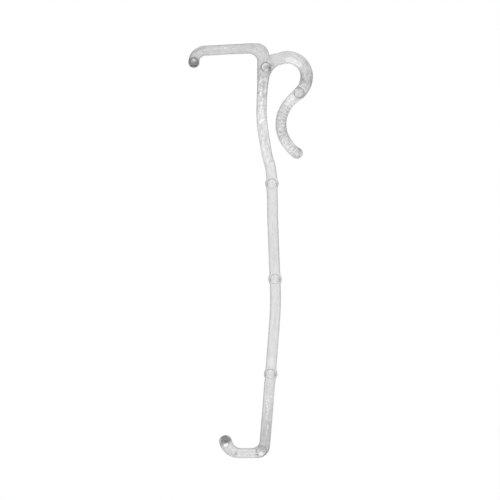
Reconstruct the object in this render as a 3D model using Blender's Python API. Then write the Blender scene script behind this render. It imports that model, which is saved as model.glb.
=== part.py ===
"""Clear moulded clip that hangs a valance board in front of a window blind's headrail.

One flat strip is bent into a long stem. An arm with a turned-down lip holds the board's top edge, a ledge with a
turned-up lip holds its bottom edge, and a spring curl grips the lip of the headrail. The moulding is divided into
sections at its round ejector bosses and at the places where it bends in use. Units are metres. X runs from the
board towards the headrail, Y across the strip and Z up. The origin is the middle of the curl's bow.
"""

import math

import bmesh
import bpy
from mathutils import Vector

# Strip sections
STRIP_WIDTH = 0.0095
ARM_THICKNESS = 0.00228
LIP_THICKNESS = 0.00246
STEM_THICKNESS = 0.00245
LEDGE_THICKNESS = 0.00222
BOW_THICKNESS = 0.00293
TAIL_THICKNESS = 0.00254
SECTION_GAP = 0.0003

# Valance space, top arm and top lip
VALANCE_HEIGHT = 0.0889
CORNER_X = -0.0055
CORNER_Z = 0.00653
CORNER_RADIUS = 0.0026
ARM_FALL = math.radians(3.2)
ARM_LENGTH = 0.01562
ARM_ROOT_LENGTH = 0.0035
TOP_LIP_RADIUS = 0.00225
TOP_LIP_STRAIGHT = 0.00037

# Neck and stem: knees of the centreline
NECK_KNEE_X = -0.00596
NECK_KNEE_DROP = 0.0123
NECK_KNEE_RADIUS = 0.0386
STEM_KNEE_X = -0.00359
STEM_KNEE_DROP = 0.02139
STEM_KNEE_RADIUS = 0.0153
BELLY_X = -0.00259
BELLY_BELOW_MIDDLE_PAD = 0.006
BELLY_RADIUS = 0.061
FOOT_X = -0.00535

# Bottom ledge and bottom lip
LEDGE_LENGTH = 0.00564
BOTTOM_LIP_RADIUS = 0.00311
BOTTOM_LIP_SWEEP = math.radians(84)

# Spring curl
BOW_RADIUS = 0.00431
BOW_LEAVES_AT = math.radians(105)
BOW_BENDS_AT = math.radians(90)
FORK_FILLET_RADIUS = 0.0055
FORK_FILLET_ROOT = 0.0006
THROAT = 0.00172
CURL_STRAIGHT = 0.00416
TAIL_RADIUS = 0.00717
TAIL_SWEEP = math.radians(102.5)

# Round ejector bosses
STEM_PAD_DIAMETER = 0.0031
JUNCTION_PAD_DIAMETER = 0.0025
JUNCTION_PAD_SETBACK = 0.00055
JUNCTION_WALL = 0.00025
CURL_PAD_DIAMETER = 0.0026
CURL_PAD_SETBACK = 0.00095
CORNER_PAD_DIAMETER = 0.0032
CORNER_PAD_INSET = 0.00058
FIRST_PAD_BELOW_KNEE = 0.00277
LAST_PAD_RISE = 0.01775

# Finish and smoothness
CLEAR_PLASTIC = (0.80, 0.81, 0.81, 1.0)
PLASTIC_ROUGHNESS = 0.28
PLASTIC_TRANSMISSION = 0.85
PLASTIC_IOR = 1.5
TAIL_ROUNDS = 12
ARC_STEP = math.radians(6)
ROUND_SEGMENTS = 48
SHARP_ANGLE = math.radians(30)


def direction(angle):
    """Unit vector in the XZ plane, at an angle from +X towards +Z."""
    return Vector((math.cos(angle), math.sin(angle)))


def arc(centre, radius, start, end):
    """Points on a circle from one angle to another."""
    steps = max(2, math.ceil(abs(end - start) / ARC_STEP))
    return [centre + radius * direction(start + (end - start) * i / steps) for i in range(steps + 1)]


def rounded(points, radii):
    """Line through the points, with each inner corner turned by an arc of its own radius."""
    line = [points[0]]
    for before, corner, after, radius in zip(points, points[1:], points[2:], radii):
        into = (corner - before).normalized()
        out = (after - corner).normalized()
        turn = math.atan2(into.x * out.y - into.y * out.x, into.dot(out))
        side = math.copysign(1, turn)
        start = corner - into * radius * math.tan(abs(turn) / 2)
        centre = start + Vector((-into.y, into.x)) * radius * side
        first = math.atan2(start.y - centre.y, start.x - centre.x)
        line += arc(centre, radius, first, first + turn)
    return line + [points[-1]]


def point_at_height(line, z):
    """Where a falling line passes a height."""
    for upper, lower in zip(line, line[1:]):
        if lower.y <= z <= upper.y:
            return upper.lerp(lower, (upper.y - z) / (upper.y - lower.y))
    raise ValueError("the line doesn't pass that height")


def crossing(point, way, other, other_way):
    """Where two straight lines cross, each given by a point and a direction."""
    apart = other - point
    turn = way.x * other_way.y - way.y * other_way.x
    return point + way * (apart.x * other_way.y - apart.y * other_way.x) / turn


def outline_of(line, thickness):
    """Outline of a strip of even thickness along a line."""
    left, right = [], []
    for i, point in enumerate(line):
        into = (point - line[max(i, 1) - 1]) if i else (line[1] - point)
        out = (line[i + 1] - point) if i + 1 < len(line) else into
        along = (into.normalized() + out.normalized()).normalized()
        reach = thickness / 2 / along.dot(out.normalized())
        side = Vector((-along.y, along.x)) * reach
        left.append(point + side)
        right.append(point - side)
    return left + right[::-1]


def disc(centre, diameter):
    """Outline of a round boss."""
    return [centre + diameter / 2 * direction(math.tau * i / ROUND_SEGMENTS) for i in range(ROUND_SEGMENTS)]


def extruded(name, outline, width, origin):
    """Mesh of an outline in the XZ plane, extruded evenly to both sides of Y = 0, about an origin."""
    shape = bmesh.new()
    corners = [shape.verts.new((p.x - origin.x, -width / 2, p.y - origin.y)) for p in outline]
    face = shape.faces.new(corners)
    made = bmesh.ops.extrude_face_region(shape, geom=[face])["geom"]
    far = [item for item in made if isinstance(item, bmesh.types.BMVert)]
    bmesh.ops.translate(shape, verts=far, vec=(0, width, 0))
    bmesh.ops.recalc_face_normals(shape, faces=shape.faces)
    mesh = bpy.data.meshes.new(name)
    shape.to_mesh(mesh)
    shape.free()
    mesh.shade_smooth()
    mesh.set_sharp_from_angle(angle=SHARP_ANGLE)
    return mesh


def clear_plastic(name):
    """Clear, slightly hazy moulded plastic."""
    material = bpy.data.materials.new(name)
    material.use_nodes = True
    shader = material.node_tree.nodes["Principled BSDF"]
    shader.inputs["Base Color"].default_value = CLEAR_PLASTIC
    shader.inputs["Roughness"].default_value = PLASTIC_ROUGHNESS
    shader.inputs["Metallic"].default_value = 0.0
    shader.inputs["Transmission Weight"].default_value = PLASTIC_TRANSMISSION
    shader.inputs["IOR"].default_value = PLASTIC_IOR
    return material


def pivot(name, point, parent=None):
    """Empty on the axis of a bend, which carries the sections that move with it."""
    empty = bpy.data.objects.new(name, None)
    bpy.context.collection.objects.link(empty)
    base = pivot_point[parent.name] if parent else Vector((0, 0))
    empty.parent = parent
    empty.location = (point.x - base.x, 0, point.y - base.y)
    pivot_point[name] = point
    return empty


def section(name, outline, carrier):
    """Named section of the moulding, carried by a pivot."""
    mesh = extruded(name, outline, STRIP_WIDTH, pivot_point[carrier.name])
    mesh.materials.append(clear_plastic(name + "_plastic"))
    made = bpy.data.objects.new(name, mesh)
    bpy.context.collection.objects.link(made)
    made.parent = carrier
    return made


def shape_with(target, outline, operation, width=STRIP_WIDTH):
    """Joins a helper shape to a section, or cuts it out of the section."""
    carrier = target.parent
    name = f"{target.name}_{operation.lower()}_{len(target.modifiers)}"
    helper = bpy.data.objects.new(name, extruded(name, outline, width, pivot_point[carrier.name]))
    bpy.context.collection.objects.link(helper)
    helper.parent = carrier
    helper.hide_render = True
    helper.display_type = "WIRE"
    modifier = target.modifiers.new(name, "BOOLEAN")
    modifier.operation = operation
    modifier.object = helper


def clear_of(target, centre, diameter):
    """Cuts the end of a section back from a round boss, by the gap between sections."""
    shape_with(target, disc(centre, diameter + 2 * SECTION_GAP), "DIFFERENCE", 2 * STRIP_WIDTH)


for old in list(bpy.data.objects):
    bpy.data.objects.remove(old)
pivot_point = {}

# Arm and ledge heights follow from the height of the valance space under the middle of the arm
corner = Vector((CORNER_X, CORNER_Z))
arm_way = direction(math.pi + ARM_FALL)
arm_end = corner + arm_way * ARM_LENGTH
arm_underside = (corner + arm_end).y / 2 - ARM_THICKNESS / 2 / math.cos(ARM_FALL)
ledge_z = arm_underside - VALANCE_HEIGHT - LEDGE_THICKNESS / 2
foot = Vector((FOOT_X, ledge_z))
corner_pad = foot + Vector((-CORNER_PAD_INSET, CORNER_PAD_INSET))

# Centreline of the neck and stem, with the bosses at even steps along it
first_pad_z = -STEM_KNEE_DROP - FIRST_PAD_BELOW_KNEE
last_pad_z = ledge_z + LAST_PAD_RISE
middle_pad_z = (first_pad_z + last_pad_z) / 2
neck_knee = Vector((NECK_KNEE_X, -NECK_KNEE_DROP))
stem_knee = Vector((STEM_KNEE_X, -STEM_KNEE_DROP))
belly = Vector((BELLY_X, middle_pad_z - BELLY_BELOW_MIDDLE_PAD))
upper_pad = stem_knee.lerp(belly, (stem_knee.y - first_pad_z) / (stem_knee.y - belly.y))
middle_pad = stem_knee.lerp(belly, (stem_knee.y - middle_pad_z) / (stem_knee.y - belly.y))
lower_pad = belly.lerp(foot, (belly.y - last_pad_z) / (belly.y - foot.y))
arm_bend = corner + arm_way * ARM_ROOT_LENGTH
neck_line = rounded(
    [arm_bend, corner, neck_knee, stem_knee, upper_pad], [CORNER_RADIUS, NECK_KNEE_RADIUS, STEM_KNEE_RADIUS]
)

# Centreline of the curl: the bow and the tail are arcs that bend opposite ways, with a straight run between them.
# The tail stands off the neck by the throat, which lets the headrail's lip in.
bow_centre = Vector((0, 0))
centres_apart = math.hypot(BOW_RADIUS + TAIL_RADIUS, CURL_STRAIGHT)
tail_off_neck = STEM_THICKNESS / 2 + THROAT + TAIL_THICKNESS / 2 + TAIL_RADIUS
tail_centre = Vector((tail_off_neck + NECK_KNEE_X, 0))
for _ in range(TAIL_ROUNDS):
    tail_centre.y = -math.sqrt(centres_apart**2 - tail_centre.x**2)
    tail_centre.x = point_at_height(neck_line, tail_centre.y).x + tail_off_neck
lean = math.atan2(CURL_STRAIGHT, BOW_RADIUS + TAIL_RADIUS)
bow_end = math.atan2(tail_centre.y, tail_centre.x) + lean
tail_start = bow_end + math.pi
bow_last = bow_centre + BOW_RADIUS * direction(bow_end)
tail_first = tail_centre + TAIL_RADIUS * direction(tail_start)
curl_pad = bow_last + (tail_first - bow_last).normalized() * CURL_PAD_SETBACK
curl_tip = tail_centre + TAIL_RADIUS * direction(tail_start + TAIL_SWEEP)
bow_bend = bow_centre + BOW_RADIUS * direction(BOW_BENDS_AT)

# Root of the curl runs straight from the bow into the middle of the neck, with a fillet in the fork below it
neck_way = (neck_knee - corner).normalized()
neck_side = Vector((-neck_way.y, neck_way.x))
root_way = direction(BOW_LEAVES_AT + math.pi / 2)
root_side = Vector((-root_way.y, root_way.x))
root_start = bow_centre + BOW_RADIUS * direction(BOW_LEAVES_AT)
root_end = crossing(root_start, root_way, corner, neck_way)
root_line = arc(bow_centre, BOW_RADIUS, BOW_BENDS_AT, BOW_LEAVES_AT) + [root_end]
neck_face = corner + neck_side * STEM_THICKNESS / 2
root_face = root_start + root_side * BOW_THICKNESS / 2
fork = crossing(root_face, root_way, neck_face, neck_way)
fork_angle = root_way.angle(-neck_way)
fork_way = (neck_way - root_way).normalized()
junction_pad = fork - fork_way * JUNCTION_PAD_SETBACK
fillet_centre = fork + fork_way * FORK_FILLET_RADIUS / math.sin(fork_angle / 2)
fillet_from = math.atan2(-neck_side.y, -neck_side.x) % math.tau
fillet_to = math.atan2(-root_side.y, -root_side.x) % math.tau
fillet_outline = arc(fillet_centre, FORK_FILLET_RADIUS, fillet_from, fillet_to)
fillet_outline.append(fillet_outline[-1] - root_side * FORK_FILLET_ROOT)
fillet_outline.append(fork - (neck_side + root_side) * FORK_FILLET_ROOT)
fillet_outline.append(fillet_outline[0] - neck_side * FORK_FILLET_ROOT)

# Pivots: the headrail holds the neck, and the other sections bend about points on the strip
headrail_grip = pivot("headrail_grip", bow_centre)
arm_flex = pivot("arm_flex", arm_bend, headrail_grip)
curl_flex = pivot("curl_flex", bow_bend, headrail_grip)
stem_flex = pivot("stem_flex", middle_pad, headrail_grip)
hook_flex = pivot("hook_flex", corner_pad, stem_flex)

# Neck: forked head, S-bend and round knuckles that the arm and the bow bend about
neck = section("neck", outline_of(neck_line, STEM_THICKNESS), headrail_grip)
shape_with(neck, outline_of(root_line, BOW_THICKNESS), "UNION")
shape_with(neck, fillet_outline, "UNION")
shape_with(neck, disc(arm_bend, STEM_THICKNESS), "UNION")
shape_with(neck, disc(bow_bend, BOW_THICKNESS), "UNION")
shape_with(neck, disc(junction_pad, JUNCTION_PAD_DIAMETER + 2 * (SECTION_GAP + JUNCTION_WALL)), "UNION")
clear_of(neck, junction_pad, JUNCTION_PAD_DIAMETER)
clear_of(neck, upper_pad, STEM_PAD_DIAMETER)
section("junction_pad", disc(junction_pad, JUNCTION_PAD_DIAMETER), headrail_grip)

# Top arm, with its turned-down lip and the lip's round end
lip_run = TOP_LIP_RADIUS * math.tan((math.pi / 2 - ARM_FALL) / 2)
top_lip_tip = arm_end - Vector((0, lip_run + TOP_LIP_STRAIGHT))
lip_line = rounded([arm_bend, arm_end, top_lip_tip], [TOP_LIP_RADIUS])[1:]
arm_line = [arm_bend, lip_line[0] - arm_way * SECTION_GAP]
top_arm = section("top_arm", outline_of(arm_line, ARM_THICKNESS), arm_flex)
clear_of(top_arm, arm_bend, STEM_THICKNESS)
top_lip = section("top_lip", outline_of(lip_line, LIP_THICKNESS), arm_flex)
clear_of(top_lip, top_lip_tip, LIP_THICKNESS)
section("top_lip_pad", disc(top_lip_tip, LIP_THICKNESS), arm_flex)

# Spring curl: bow, boss, tail and the tail's round end
bow_line = arc(bow_centre, BOW_RADIUS, BOW_BENDS_AT, bow_end) + [curl_pad]
curl_bow = section("curl_bow", outline_of(bow_line, BOW_THICKNESS), curl_flex)
clear_of(curl_bow, bow_bend, BOW_THICKNESS)
clear_of(curl_bow, curl_pad, CURL_PAD_DIAMETER)
section("curl_pad", disc(curl_pad, CURL_PAD_DIAMETER), curl_flex)
tail_line = [curl_pad] + arc(tail_centre, TAIL_RADIUS, tail_start, tail_start + TAIL_SWEEP)
curl_tail = section("curl_tail", outline_of(tail_line, TAIL_THICKNESS), curl_flex)
clear_of(curl_tail, curl_pad, CURL_PAD_DIAMETER)
clear_of(curl_tail, curl_tip, TAIL_THICKNESS)
section("curl_tip_pad", disc(curl_tip, TAIL_THICKNESS), curl_flex)

# Stem: two spans and a foot between round bosses
section("stem_pad_upper", disc(upper_pad, STEM_PAD_DIAMETER), headrail_grip)
span_upper = section("stem_span_upper", outline_of([upper_pad, middle_pad], STEM_THICKNESS), headrail_grip)
clear_of(span_upper, upper_pad, STEM_PAD_DIAMETER)
clear_of(span_upper, middle_pad, STEM_PAD_DIAMETER)
section("stem_pad_middle", disc(middle_pad, STEM_PAD_DIAMETER), stem_flex)
belly_line = rounded([middle_pad, belly, lower_pad], [BELLY_RADIUS])
span_lower = section("stem_span_lower", outline_of(belly_line, STEM_THICKNESS), stem_flex)
clear_of(span_lower, middle_pad, STEM_PAD_DIAMETER)
clear_of(span_lower, lower_pad, STEM_PAD_DIAMETER)
section("stem_pad_lower", disc(lower_pad, STEM_PAD_DIAMETER), stem_flex)
foot_line = [lower_pad, point_at_height([lower_pad, foot], corner_pad.y)]
stem_foot = section("stem_foot", outline_of(foot_line, STEM_THICKNESS), stem_flex)
clear_of(stem_foot, lower_pad, STEM_PAD_DIAMETER)
clear_of(stem_foot, corner_pad, CORNER_PAD_DIAMETER)
section("corner_pad", disc(corner_pad, CORNER_PAD_DIAMETER), stem_flex)

# Bottom ledge, with its turned-up lip and the lip's round end
ledge_start = Vector((corner_pad.x, ledge_z))
ledge_end = foot - Vector((LEDGE_LENGTH, 0))
bottom_ledge = section("bottom_ledge", outline_of([ledge_start, ledge_end], LEDGE_THICKNESS), hook_flex)
clear_of(bottom_ledge, corner_pad, CORNER_PAD_DIAMETER)
hook_centre = ledge_end + Vector((0, BOTTOM_LIP_RADIUS))
hook_down = -math.pi / 2
hook_start = hook_down - SECTION_GAP / (BOTTOM_LIP_RADIUS - LIP_THICKNESS / 2)
hook_line = arc(hook_centre, BOTTOM_LIP_RADIUS, hook_start, hook_down - BOTTOM_LIP_SWEEP)
bottom_lip = section("bottom_lip", outline_of(hook_line, LIP_THICKNESS), hook_flex)
clear_of(bottom_lip, hook_line[-1], LIP_THICKNESS)
section("bottom_lip_pad", disc(hook_line[-1], LIP_THICKNESS), hook_flex)
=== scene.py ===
import math

import bpy
import numpy as np
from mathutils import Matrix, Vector


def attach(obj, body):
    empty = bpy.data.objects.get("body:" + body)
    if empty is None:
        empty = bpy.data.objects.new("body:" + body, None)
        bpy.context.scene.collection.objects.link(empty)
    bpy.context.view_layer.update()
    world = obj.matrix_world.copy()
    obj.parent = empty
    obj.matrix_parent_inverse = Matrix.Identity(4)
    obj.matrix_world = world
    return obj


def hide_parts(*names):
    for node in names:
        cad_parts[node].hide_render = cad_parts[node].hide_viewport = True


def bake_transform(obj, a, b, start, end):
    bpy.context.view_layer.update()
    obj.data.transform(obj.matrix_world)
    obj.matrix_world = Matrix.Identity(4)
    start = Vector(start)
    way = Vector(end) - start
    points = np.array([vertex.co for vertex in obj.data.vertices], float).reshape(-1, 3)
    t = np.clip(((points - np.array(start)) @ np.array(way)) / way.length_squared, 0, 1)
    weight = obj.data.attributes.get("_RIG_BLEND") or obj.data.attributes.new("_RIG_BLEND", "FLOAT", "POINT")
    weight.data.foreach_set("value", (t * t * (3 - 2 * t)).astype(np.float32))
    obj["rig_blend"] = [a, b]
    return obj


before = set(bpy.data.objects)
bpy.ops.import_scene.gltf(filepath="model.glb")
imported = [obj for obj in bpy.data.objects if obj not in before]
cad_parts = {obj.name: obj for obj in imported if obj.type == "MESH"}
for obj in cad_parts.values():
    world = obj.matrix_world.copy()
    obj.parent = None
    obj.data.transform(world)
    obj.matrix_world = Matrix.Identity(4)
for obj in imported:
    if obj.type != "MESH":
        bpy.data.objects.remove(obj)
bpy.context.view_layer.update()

# ---------------------------------------------------------------- head
# The fork of the clip, where the arm, the curl and the stem run together, with the long S-bend below it.
# Clear injection-moulded plastic: one flat plate as deep as the strip, its rims rounded, with the fine ridge of
# the mould's parting line round its sides and a round ejector mark in the fork. Drawn in millimetres.
MM = 0.001
NEAR = 0.01
STRIP_DEPTH = 9.5
FACE_Y = STRIP_DEPTH / 2
RIM_RADIUS, RIM_STEPS, RIM_PROFILE = 0.36, 4, 0.5
RIDGE_HALF_WIDTH = 0.10
RIDGE_FOOT, RIDGE_TOP = 0.01, 0.03
RIDGE_ROWS = ((RIDGE_HALF_WIDTH, RIDGE_FOOT), (0, RIDGE_TOP))
SMOOTH_UP_TO = math.radians(35)

ARM_SEAM = ((-9.20, 7.44), (-9.085, 5.17))
CURL_SEAM = ((-1.474, 5.501), (-0.765, 2.854))
STEM_SEAM = ((-2.916, -19.195), (-5.250, -19.805))
HEAD_SEAMS = (ARM_SEAM, CURL_SEAM, STEM_SEAM)
SEAM_REACH, SEAM_CORNER, SEAM_SQUARE = 2.2, 0.02, 0.01

CORNER_BEGINS, CORNER_CENTRE, CORNER_TURN = (-7.083, 7.527), (-6.95, 4.70), -90.0
ARM_PIT_CENTRE, ARM_PIT_TURN = (-8.65, 3.33), 92.8
NECK_RIGHT = (CURL_SEAM[1], (-2.02, 2.51), (-3.20, 1.60), (-4.01, -0.02), (-4.26, -1.4), (-4.48, -3.2),
              (-4.67, -6.8), (-4.61, -9.5), (-4.28, -12.2), (-3.39, -17.6), STEM_SEAM[0])
NECK_LEFT = (STEM_SEAM[1], (-5.80, -17.6), (-6.72, -12.2), (-6.94, -9.5), (-6.97, -6.8), (-6.83, -3.0),
             (-6.80, 0.0), (-6.79, 3.33))
NECK_SLICES = np.linspace(4.0, -18.0, 23)
FORK_RUN_CENTRE, FORK_RUN_RADIUS = (-7.7, 3.9), 2.35
NECK_RUN = ((-5.4, 0.0), (-5.82, -6.8), (-5.78, -9.5), (-5.5, -12.2), (-4.595, -17.6))

FORK_MARK, FORK_MARK_DIAMETER = (-4.83, 2.08), 2.5
MARK_DEPTH, MARK_SLOPE, MARK_SIDES = 0.24, 0.31, 56
MARK_WALL_TILT = (0.5, 0.95)
# How the painted shade on a mark's wall is shared out: part evenly all round, part on its darkest side.
MARK_EVEN, MARK_ONE_SIDED = 0.6, 0.4


def smooth_through(points, steps):
    """Points of a smooth curve through all the given ones, steps to each span, without the first."""
    points = [Vector(p) for p in points]
    ends = [2 * points[0] - points[1], *points, 2 * points[-1] - points[-2]]
    curve = []
    for a, b, c, d in zip(ends, ends[1:], ends[2:], ends[3:]):
        pull, bend, twist = c - a, 2 * a - 5 * b + 4 * c - d, 3 * b - a - 3 * c + d
        for t in (step / steps for step in range(1, steps + 1)):
            curve.append(0.5 * (2 * b + pull * t + bend * t**2 + twist * t**3))
    return curve


def arc_points(centre, radius, from_degrees, to_degrees, steps):
    """Points of an arc, with both its ends."""
    sweep = to_degrees - from_degrees
    turns = (math.radians(from_degrees + sweep * i / steps) for i in range(steps + 1))
    return [Vector((centre[0] + radius * math.cos(t), centre[1] + radius * math.sin(t))) for t in turns]


def new_plane(name, **options):
    """A new plane, with nothing else selected."""
    bpy.ops.object.select_all(action="DESELECT")
    bpy.ops.mesh.primitive_plane_add(**options)
    plane = bpy.context.object
    plane.name = plane.data.name = name
    return plane


def face_outwards():
    """Ends the drawing of a closed mesh in edit mode, with its faces turned outwards."""
    bpy.ops.mesh.select_all(action="SELECT")
    bpy.ops.mesh.normals_make_consistent(inside=False)
    bpy.ops.object.mode_set(mode="OBJECT")


def draw_plate(name, start, strokes):
    """A plate as deep as the strip: its outline is drawn from one point, by lines through points and by arcs
    (centre, degrees, steps)."""
    plate = new_plane(name, size=1)
    bpy.ops.object.mode_set(mode="EDIT")
    bpy.ops.mesh.merge(type="CENTER")
    bpy.ops.transform.translate(value=(start[0], -FACE_Y, start[1]))
    pen = Vector(start)
    for kind, *stroke in strokes:
        if kind == "arc":
            centre, degrees, steps = stroke
            bpy.ops.mesh.spin(steps=steps, angle=math.radians(degrees),
                              center=(centre[0], -FACE_Y, centre[1]), axis=(0, 1, 0))
            reach = pen - Vector(centre)
            first = math.degrees(math.atan2(reach.y, reach.x))
            pen = arc_points(centre, reach.length, first, first + degrees, 1)[1]
        else:
            for point in stroke[0]:
                move = Vector(point) - pen
                bpy.ops.mesh.extrude_vertices_move(TRANSFORM_OT_translate={"value": (move.x, 0, move.y)})
                pen = Vector(point)
    bpy.ops.mesh.select_all(action="SELECT")
    bpy.ops.mesh.remove_doubles(threshold=NEAR)
    bpy.ops.mesh.edge_face_add()
    bpy.ops.mesh.extrude_region_move(TRANSFORM_OT_translate={"value": (0, STRIP_DEPTH, 0)})
    face_outwards()
    return plate


def slice_across(place, normal):
    """Cuts new edges through the whole mesh in edit mode, at a plane."""
    bpy.ops.mesh.select_all(action="SELECT")
    bpy.ops.mesh.bisect(plane_co=place, plane_no=normal)


def slice_ridge_rows():
    """Cuts the three rows of the parting line's ridge."""
    for y in (-RIDGE_HALF_WIDTH, 0, RIDGE_HALF_WIDTH):
        slice_across((0, y, 0), (0, 1, 0))


def in_row(point, reach):
    """True for a place in the ridge's row that lies so far from the middle of the depth."""
    return abs(abs(point.y) - reach) < NEAR


def select_where(piece, kind, wanted):
    """Leaves only the wanted points (VERT) or edges (EDGE) selected, in edit mode."""
    bpy.ops.object.mode_set(mode="EDIT")
    bpy.ops.mesh.select_mode(type=kind)
    bpy.ops.mesh.select_all(action="DESELECT")
    bpy.ops.object.mode_set(mode="OBJECT")
    for part in piece.data.vertices if kind == "VERT" else piece.data.edges:
        part.select = wanted(part)
    bpy.ops.object.mode_set(mode="EDIT")


def middle_of(seam):
    """The place half way along a seam."""
    return (Vector(seam[0]) + Vector(seam[1])) / 2


def on_seam(point, seams):
    """True for a place on one of the seams."""
    for seam in seams:
        across = (Vector(seam[1]) - Vector(seam[0])).normalized()
        away = Vector((point.x, point.z)) - middle_of(seam)
        if abs(away.cross(across)) < NEAR and abs(away.dot(across)) < SEAM_REACH:
            return True
    return False


def raise_parting_line(plate, seams):
    """A fine ridge round the sides, half way through the depth, where the two halves of the mould met."""
    bpy.ops.object.mode_set(mode="EDIT")
    slice_ridge_rows()
    for reach, rise in RIDGE_ROWS:
        select_where(plate, "VERT", lambda p: in_row(p.co, reach) and not on_seam(p.co, seams))
        bpy.ops.transform.shrink_fatten(value=rise)
        for seam in seams:
            for end, other in (seam, seam[::-1]):
                end, out = Vector(end), (Vector(end) - Vector(other)).normalized() * rise
                select_where(plate, "VERT", lambda p: in_row(p.co, reach)
                             and (Vector((p.co.x, p.co.z)) - end).length < SEAM_CORNER)
                bpy.ops.transform.translate(value=(out.x, 0, out.y))
    bpy.ops.object.mode_set(mode="OBJECT")


def round_rims(plate, seams):
    """Rounds the front and back rims, but not the ends where the next section goes on."""
    def on_rim(edge):
        a, b = (plate.data.vertices[i].co for i in edge.vertices)
        on_face = min(abs(a.y), abs(b.y)) > FACE_Y - NEAR and a.y * b.y > 0
        return on_face and not on_seam((a + b) / 2, seams)

    select_where(plate, "EDGE", on_rim)
    bpy.ops.mesh.bevel(offset=RIM_RADIUS, segments=RIM_STEPS, profile=RIM_PROFILE, affect="EDGES",
                       clamp_overlap=False)
    bpy.ops.object.mode_set(mode="OBJECT")


def press_mark(piece, place, diameter, shade, depth=MARK_DEPTH, slope=MARK_SLOPE, darkest=None):
    """Presses a round ejector mark with a sloped wall into the front face, and notes the painted shade on its
    wall:
    all round, or fading away from the side that is darkest, in degrees."""
    bpy.ops.object.select_all(action="DESELECT")
    bpy.ops.mesh.primitive_cone_add(
        vertices=MARK_SIDES, radius1=diameter / 2 + slope, radius2=diameter / 2 - slope, depth=2 * depth,
        location=(place[0], -FACE_Y, place[1]), rotation=(-math.pi / 2, 0, 0))
    pin = bpy.context.object
    cut = piece.modifiers.new("mark", "BOOLEAN")
    cut.operation, cut.solver, cut.object = "DIFFERENCE", "EXACT", pin
    bpy.context.view_layer.objects.active = piece
    bpy.ops.object.modifier_apply(modifier=cut.name)
    bpy.data.objects.remove(pin)
    notes = piece.data.attributes
    walls = notes.get("mark_wall_painted_shade") or notes.new("mark_wall_painted_shade", "FLOAT", "FACE")
    steepest, flattest = MARK_WALL_TILT
    for face in piece.data.polygons:
        away = Vector((face.center.x, face.center.z)) - Vector(place)
        in_ring = abs(away.length - diameter / 2 + slope / 2) < slope / 3
        if in_ring and steepest < -face.normal.y < flattest:
            turn = 0 if darkest is None else math.atan2(away.y, away.x) - math.radians(darkest)
            walls.data[face.index].value = shade * (MARK_EVEN + MARK_ONE_SIDED * math.cos(turn))


def lengths_along(line):
    """How far along a line each of its points lies."""
    return [0.0, *np.cumsum([(b - a).length for a, b in zip(line, line[1:])])]


def lay_run(piece, line, begins):
    """Notes for each point how far along the run of the melt it lies, how far across it, and how deep."""
    corners = np.array([tuple(p) for p in line])
    starts, steps = corners[:-1], np.diff(corners, axis=0)
    sizes = np.linalg.norm(steps, axis=1)
    points = np.array([tuple(v.co) for v in piece.data.vertices])
    away = points[:, None, ::2] - starts[None]
    share = np.clip((away * steps).sum(2) / sizes**2, 0, 1)
    offsets = away - share[..., None] * steps
    near = np.argmin((offsets**2).sum(2), axis=1)
    rows = np.arange(len(points))
    along = begins + np.concatenate(([0], np.cumsum(sizes)))[near] + share[rows, near] * sizes[near]
    ways, offset = steps[near] / sizes[near, None], offsets[rows, near]
    across = ways[:, 0] * offset[:, 1] - ways[:, 1] * offset[:, 0]
    run = piece.data.attributes.new("run", "FLOAT_VECTOR", "POINT")
    run.data.foreach_set("vector", np.column_stack((along, across, points[:, 1])).astype(np.float32).ravel())


def finish_moulding(piece, seams, skin):
    """Gives a drawn section its skin and its unseen joints, brings it to metres and smooths it."""
    for material in (skin, unseen_joint):
        piece.data.materials.append(material)
    lines = [Vector((q[0] - p[0], 0, q[1] - p[1])).normalized() for p, q in seams]
    for face in piece.data.polygons:
        square = any(abs(face.normal.dot(line)) < SEAM_SQUARE for line in lines)
        square = square and abs(face.normal.y) < SEAM_SQUARE
        face.material_index = 1 if square and on_seam(face.center, seams) else 0
    bpy.ops.object.select_all(action="DESELECT")
    piece.select_set(True)
    bpy.context.view_layer.objects.active = piece
    bpy.ops.object.mode_set(mode="EDIT")
    bpy.ops.mesh.select_all(action="SELECT")
    bpy.ops.transform.resize(value=(MM, MM, MM), center_override=(0, 0, 0))
    bpy.ops.object.mode_set(mode="OBJECT")
    bpy.ops.object.shade_smooth_by_angle(angle=SMOOTH_UP_TO)
    even = piece.modifiers.new("even_shine", "WEIGHTED_NORMAL")
    even.keep_sharp = True
    bpy.ops.object.modifier_apply(modifier=even.name)


def add_node(tree, kind, inputs=None, **options):
    """A node with its options set and its inputs filled, each with a value or with the output that feeds it."""
    node = tree.nodes.new(kind)
    for name, value in options.items():
        setattr(node, name, value)
    for socket, value in (inputs or {}).items():
        if isinstance(value, bpy.types.NodeSocket):
            tree.links.new(value, node.inputs[socket])
        else:
            node.inputs[socket].default_value = value
    return node


def reckon(tree, operation, *values):
    """The result of a Math node on values or outputs."""
    return add_node(tree, "ShaderNodeMath", dict(enumerate(values)), operation=operation).outputs[0]


def plus(tree, a, b):
    """The sum of two values or outputs."""
    return reckon(tree, "ADD", a, b)


def times(tree, a, b):
    """The product of two values or outputs."""
    return reckon(tree, "MULTIPLY", a, b)


def reckon_vector(tree, operation, *values):
    """The result of a Vector Math node: a vector, or a number for LENGTH."""
    node = add_node(tree, "ShaderNodeVectorMath", dict(enumerate(values)), operation=operation)
    return node.outputs["Value" if operation == "LENGTH" else "Vector"]


def parts_of(tree, vector):
    """The X, Y and Z outputs of a vector."""
    return add_node(tree, "ShaderNodeSeparateXYZ", {"Vector": vector}).outputs


def ramp(tree, value, low, high, out_low=0.0, out_high=1.0, step="SMOOTHSTEP"):
    """A step from low to high, soft unless it is LINEAR."""
    ends = {"Value": value, "From Min": low, "From Max": high, "To Min": out_low, "To Max": out_high}
    return add_node(tree, "ShaderNodeMapRange", ends, interpolation_type=step).outputs["Result"]
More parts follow.
